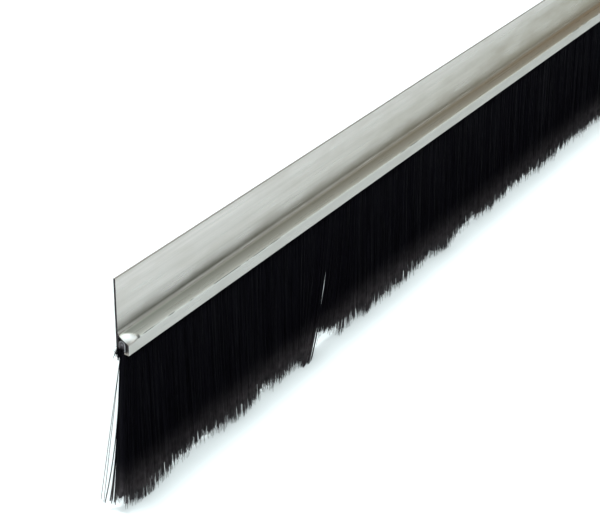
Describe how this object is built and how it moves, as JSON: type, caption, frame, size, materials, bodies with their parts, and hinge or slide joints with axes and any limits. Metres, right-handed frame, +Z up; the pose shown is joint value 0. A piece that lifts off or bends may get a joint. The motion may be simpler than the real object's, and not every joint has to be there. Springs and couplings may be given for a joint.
{
  "type": "brush strip door sweep",
  "caption": "Slim aluminium carrier with a flat fixing flange and a channel that grips a steel-backed brush, whose long black bristles hang down and flex to seal the gap under a door or gate.",
  "frame": {"origin": "on the flange's back face, half way along the strip, on the fixing line 12 mm below the top edge", "axes": "+X along the strip, +Y out of the back face towards the door, +Z up, bristles hanging down -Z"},
  "size_m": [1.0076, 0.0064, 0.104],
  "materials": {
    "mill_aluminium": "mill finish, fine lines along the extrusion",
    "galvanised_steel": "bright galvanised, dull spangle",
    "steel_wire": "drawn galvanised wire",
    "black_nylon": "fine black filament, slight sheen"
  },
  "bodies": {
    "strip": {"carrier": "mill_aluminium", "brush_backing": "galvanised_steel", "core_wire": "steel_wire", "bristle_roots": "black_nylon"},
    "section_01": {"bristles_01": "black_nylon"},
    "section_02": {"bristles_02": "black_nylon"},
    "section_03": {"bristles_03": "black_nylon"},
    "section_04": {"bristles_04": "black_nylon"},
    "section_05": {"bristles_05": "black_nylon"},
    "section_06": {"bristles_06": "black_nylon"},
    "section_07": {"bristles_07": "black_nylon"},
    "section_08": {"bristles_08": "black_nylon"},
    "section_09": {"bristles_09": "black_nylon"},
    "section_10": {"bristles_10": "black_nylon"},
    "section_11": {"bristles_11": "black_nylon"},
    "section_12": {"bristles_12": "black_nylon"},
    "section_13": {"bristles_13": "black_nylon"},
    "section_14": {"bristles_14": "black_nylon"},
    "section_15": {"bristles_15": "black_nylon"},
    "section_16": {"bristles_16": "black_nylon"}
  },
  "joints": [
    {"name": "flex_01", "type": "hinge", "parent": "strip", "child": "section_01", "pos_m": [-0.46875, -0.00275, -0.0234], "axis": [1, 0, 0], "range_deg": [-40, 40], "stiffness_Nm_per_rad": 0.03},
    {"name": "flex_02", "type": "hinge", "parent": "strip", "child": "section_02", "pos_m": [-0.40625, -0.00275, -0.0234], "axis": [1, 0, 0], "range_deg": [-40, 40], "stiffness_Nm_per_rad": 0.03},
    {"name": "flex_03", "type": "hinge", "parent": "strip", "child": "section_03", "pos_m": [-0.34375, -0.00275, -0.0234], "axis": [1, 0, 0], "range_deg": [-40, 40], "stiffness_Nm_per_rad": 0.03},
    {"name": "flex_04", "type": "hinge", "parent": "strip", "child": "section_04", "pos_m": [-0.28125, -0.00275, -0.0234], "axis": [1, 0, 0], "range_deg": [-40, 40], "stiffness_Nm_per_rad": 0.03},
    {"name": "flex_05", "type": "hinge", "parent": "strip", "child": "section_05", "pos_m": [-0.21875, -0.00275, -0.0234], "axis": [1, 0, 0], "range_deg": [-40, 40], "stiffness_Nm_per_rad": 0.03},
    {"name": "flex_06", "type": "hinge", "parent": "strip", "child": "section_06", "pos_m": [-0.15625, -0.00275, -0.0234], "axis": [1, 0, 0], "range_deg": [-40, 40], "stiffness_Nm_per_rad": 0.03},
    {"name": "flex_07", "type": "hinge", "parent": "strip", "child": "section_07", "pos_m": [-0.09375, -0.00275, -0.0234], "axis": [1, 0, 0], "range_deg": [-40, 40], "stiffness_Nm_per_rad": 0.03},
    {"name": "flex_08", "type": "hinge", "parent": "strip", "child": "section_08", "pos_m": [-0.03125, -0.00275, -0.0234], "axis": [1, 0, 0], "range_deg": [-40, 40], "stiffness_Nm_per_rad": 0.03},
    {"name": "flex_09", "type": "hinge", "parent": "strip", "child": "section_09", "pos_m": [0.03125, -0.00275, -0.0234], "axis": [1, 0, 0], "range_deg": [-40, 40], "stiffness_Nm_per_rad": 0.03},
    {"name": "flex_10", "type": "hinge", "parent": "strip", "child": "section_10", "pos_m": [0.09375, -0.00275, -0.0234], "axis": [1, 0, 0], "range_deg": [-40, 40], "stiffness_Nm_per_rad": 0.03},
    {"name": "flex_11", "type": "hinge", "parent": "strip", "child": "section_11", "pos_m": [0.15625, -0.00275, -0.0234], "axis": [1, 0, 0], "range_deg": [-40, 40], "stiffness_Nm_per_rad": 0.03},
    {"name": "flex_12", "type": "hinge", "parent": "strip", "child": "section_12", "pos_m": [0.21875, -0.00275, -0.0234], "axis": [1, 0, 0], "range_deg": [-40, 40], "stiffness_Nm_per_rad": 0.03},
    {"name": "flex_13", "type": "hinge", "parent": "strip", "child": "section_13", "pos_m": [0.28125, -0.00275, -0.0234], "axis": [1, 0, 0], "range_deg": [-40, 40], "stiffness_Nm_per_rad": 0.03},
    {"name": "flex_14", "type": "hinge", "parent": "strip", "child": "section_14", "pos_m": [0.34375, -0.00275, -0.0234], "axis": [1, 0, 0], "range_deg": [-40, 40], "stiffness_Nm_per_rad": 0.03},
    {"name": "flex_15", "type": "hinge", "parent": "strip", "child": "section_15", "pos_m": [0.40625, -0.00275, -0.0234], "axis": [1, 0, 0], "range_deg": [-40, 40], "stiffness_Nm_per_rad": 0.03},
    {"name": "flex_16", "type": "hinge", "parent": "strip", "child": "section_16", "pos_m": [0.46875, -0.00275, -0.0234], "axis": [1, 0, 0], "range_deg": [-40, 40], "stiffness_Nm_per_rad": 0.03}
  ]
}
